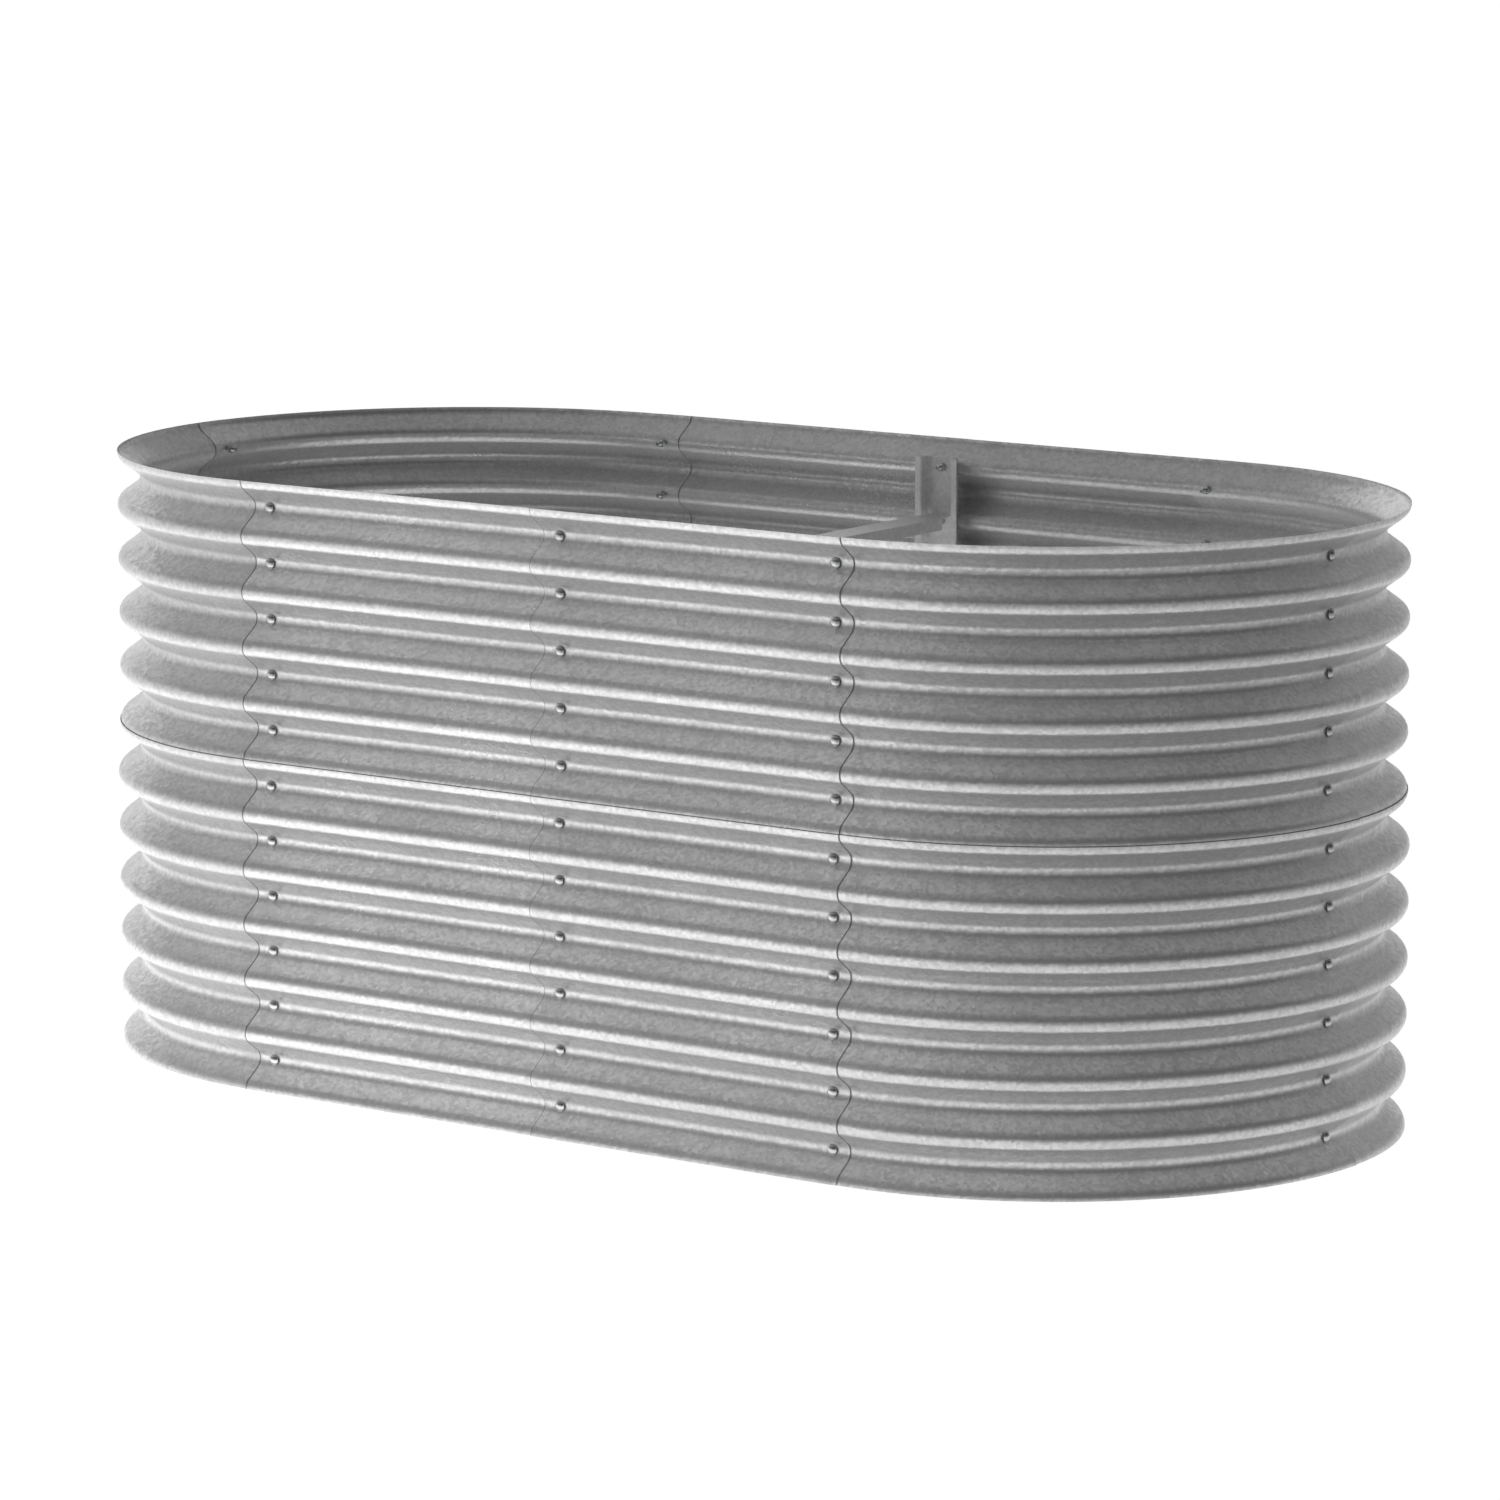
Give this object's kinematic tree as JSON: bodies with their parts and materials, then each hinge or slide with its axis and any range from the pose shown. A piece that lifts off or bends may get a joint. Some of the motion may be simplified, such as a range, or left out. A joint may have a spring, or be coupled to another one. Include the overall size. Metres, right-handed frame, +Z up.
{
  "type": "raised garden bed",
  "caption": "Oval raised garden bed of corrugated galvanised steel: two stacked rings of bolted panels, open top and bottom, with inner posts and cross braces.",
  "frame": {"origin": "on the ground, below the centre of the oval", "axes": "+X along the length, -Y towards the front wall, +Z up"},
  "size_m": [1.8478, 0.922, 0.792],
  "materials": {
    "galvanised_sheet": "satin galvanised steel sheet",
    "galvanised_section": "satin galvanised folded steel",
    "zinc_fastener": "bright zinc plated"
  },
  "bodies": {
    "root": {"upper_front_left_wall": "galvanised_sheet", "upper_front_left_curve": "galvanised_sheet", "upper_front_right_wall": "galvanised_sheet", "upper_front_right_curve": "galvanised_sheet", "upper_back_left_wall": "galvanised_sheet", "upper_back_left_curve": "galvanised_sheet", "upper_back_right_wall": "galvanised_sheet", "upper_back_right_curve": "galvanised_sheet", "lower_front_left_wall": "galvanised_sheet", "lower_front_left_curve": "galvanised_sheet", "lower_front_right_wall": "galvanised_sheet", "lower_front_right_curve": "galvanised_sheet", "lower_back_left_wall": "galvanised_sheet", "lower_back_left_curve": "galvanised_sheet", "lower_back_right_wall": "galvanised_sheet", "lower_back_right_curve": "galvanised_sheet", "front_post": "galvanised_section", "back_post": "galvanised_section", "upper_brace": "galvanised_section", "lower_brace": "galvanised_section", "front_left_bolts": "zinc_fastener", "front_left_washers": "zinc_fastener", "front_left_nuts": "zinc_fastener", "front_middle_bolts": "zinc_fastener", "front_middle_washers": "zinc_fastener", "front_middle_nuts": "zinc_fastener", "front_right_bolts": "zinc_fastener", "front_right_washers": "zinc_fastener", "front_right_nuts": "zinc_fastener", "right_end_bolts": "zinc_fastener", "right_end_washers": "zinc_fastener", "right_end_nuts": "zinc_fastener", "back_right_bolts": "zinc_fastener", "back_right_washers": "zinc_fastener", "back_right_nuts": "zinc_fastener", "back_middle_bolts": "zinc_fastener", "back_middle_washers": "zinc_fastener", "back_middle_nuts": "zinc_fastener", "back_left_bolts": "zinc_fastener", "back_left_washers": "zinc_fastener", "back_left_nuts": "zinc_fastener", "left_end_bolts": "zinc_fastener", "left_end_washers": "zinc_fastener", "left_end_nuts": "zinc_fastener"}
  },
  "joints": []
}
